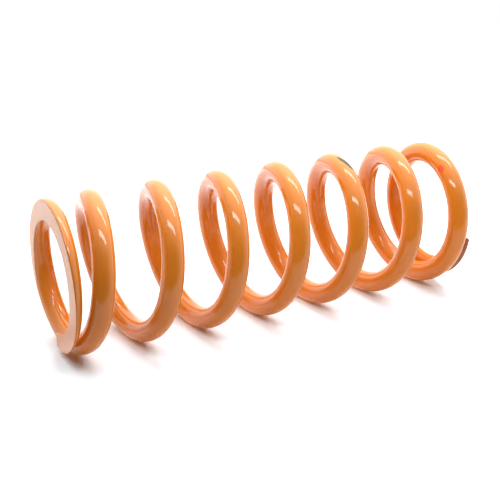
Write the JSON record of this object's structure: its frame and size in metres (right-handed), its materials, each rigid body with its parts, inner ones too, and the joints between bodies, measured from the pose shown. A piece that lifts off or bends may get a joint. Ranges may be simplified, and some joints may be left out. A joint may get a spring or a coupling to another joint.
{
  "type": "shock absorber spring",
  "caption": "Left-hand helical compression spring of round steel wire with closed, ground ends and an orange powder coat, for a motorcycle rear shock absorber.",
  "frame": {"origin": "on the coil's axis, in the plane of the lower ground face", "axes": "+Z up along the coil's axis; in the picture the spring lies on its side, with +X up and the upper end towards the viewer on the left"},
  "size_m": [0.087, 0.087, 0.244],
  "materials": {
    "powder_coat": "gloss orange powder coat on spring steel"
  },
  "bodies": {
    "root": {"coil_spring": "powder_coat"}
  },
  "joints": []
}
